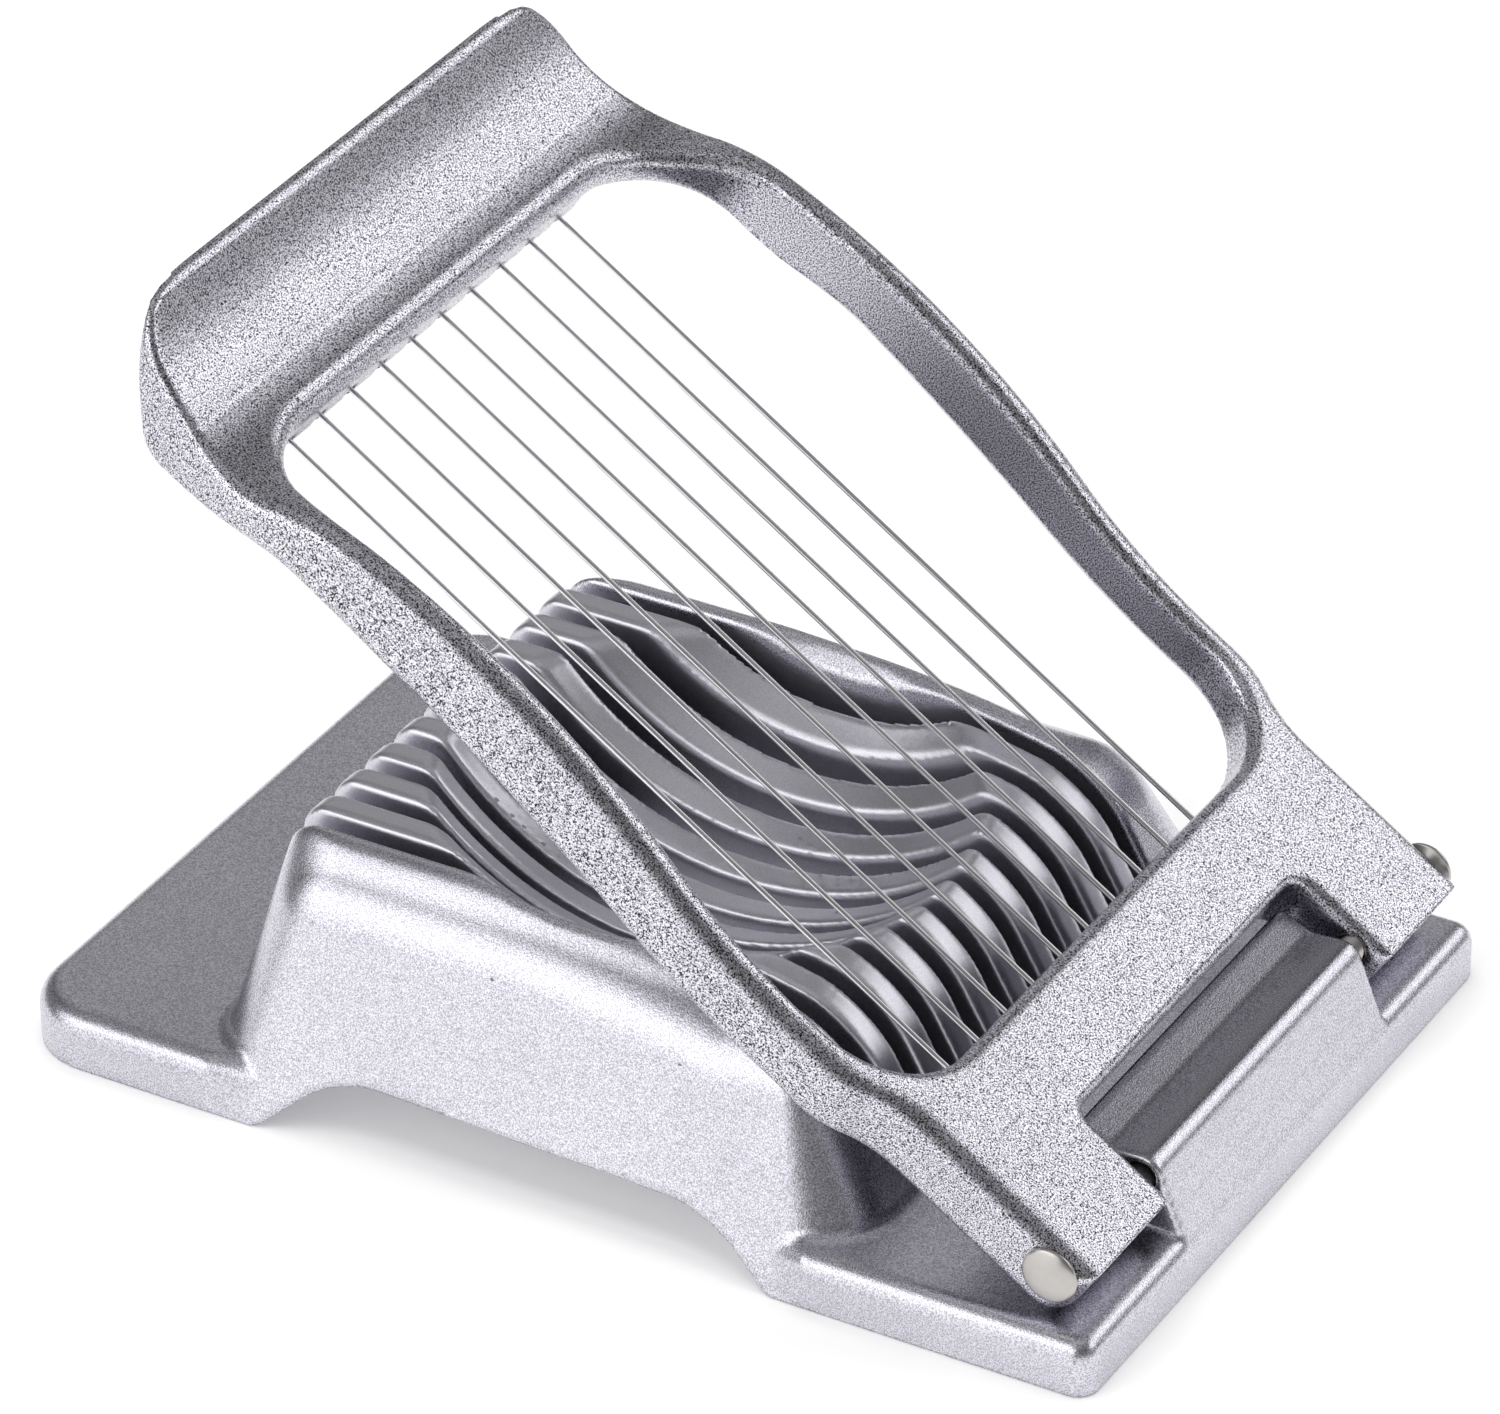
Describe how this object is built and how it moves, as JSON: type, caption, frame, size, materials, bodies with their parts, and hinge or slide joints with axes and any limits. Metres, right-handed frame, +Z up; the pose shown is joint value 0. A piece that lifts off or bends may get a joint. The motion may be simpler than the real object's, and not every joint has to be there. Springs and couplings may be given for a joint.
{
  "type": "egg slicer",
  "caption": "Cast aluminium egg slicer: a ribbed base with a round egg cradle and a hinged frame strung with parallel cutting wires that drop into the slots between the ribs.",
  "frame": {"origin": "on the floor under the middle of the base", "axes": "+X from the handle end to the hinge end, +Y along the hinge axis, +Z up"},
  "size_m": [0.1086, 0.076, 0.078],
  "materials": {
    "cast_aluminium": "fine-grained matte cast aluminium",
    "wire_steel": "drawn stainless wire",
    "rivet_steel": "satin rivet steel",
    "ferrule_steel": "crimped steel"
  },
  "bodies": {
    "base_body": {"base": "cast_aluminium", "hinge_rivet_right": "rivet_steel", "hinge_rivet_left": "rivet_steel"},
    "frame_body": {"cutting_frame": "cast_aluminium", "wire_01": "wire_steel", "wire_02": "wire_steel", "wire_03": "wire_steel", "wire_04": "wire_steel", "wire_05": "wire_steel", "wire_06": "wire_steel", "wire_07": "wire_steel", "wire_08": "wire_steel", "wire_09": "wire_steel", "wire_10": "wire_steel", "rear_ferrule_01": "ferrule_steel", "rear_ferrule_02": "ferrule_steel", "rear_ferrule_03": "ferrule_steel", "rear_ferrule_04": "ferrule_steel", "rear_ferrule_05": "ferrule_steel", "rear_ferrule_06": "ferrule_steel", "rear_ferrule_07": "ferrule_steel", "rear_ferrule_08": "ferrule_steel", "rear_ferrule_09": "ferrule_steel", "rear_ferrule_10": "ferrule_steel", "front_ferrule_01": "ferrule_steel", "front_ferrule_02": "ferrule_steel", "front_ferrule_03": "ferrule_steel", "front_ferrule_04": "ferrule_steel", "front_ferrule_05": "ferrule_steel", "front_ferrule_06": "ferrule_steel", "front_ferrule_07": "ferrule_steel", "front_ferrule_08": "ferrule_steel", "front_ferrule_09": "ferrule_steel", "front_ferrule_10": "ferrule_steel"}
  },
  "joints": [
    {"name": "frame_hinge", "type": "hinge", "parent": "base_body", "child": "frame_body", "pos_m": [0.0495, 0, 0.0104], "axis": [0, 1, 0], "range_deg": [-34, 66]}
  ]
}
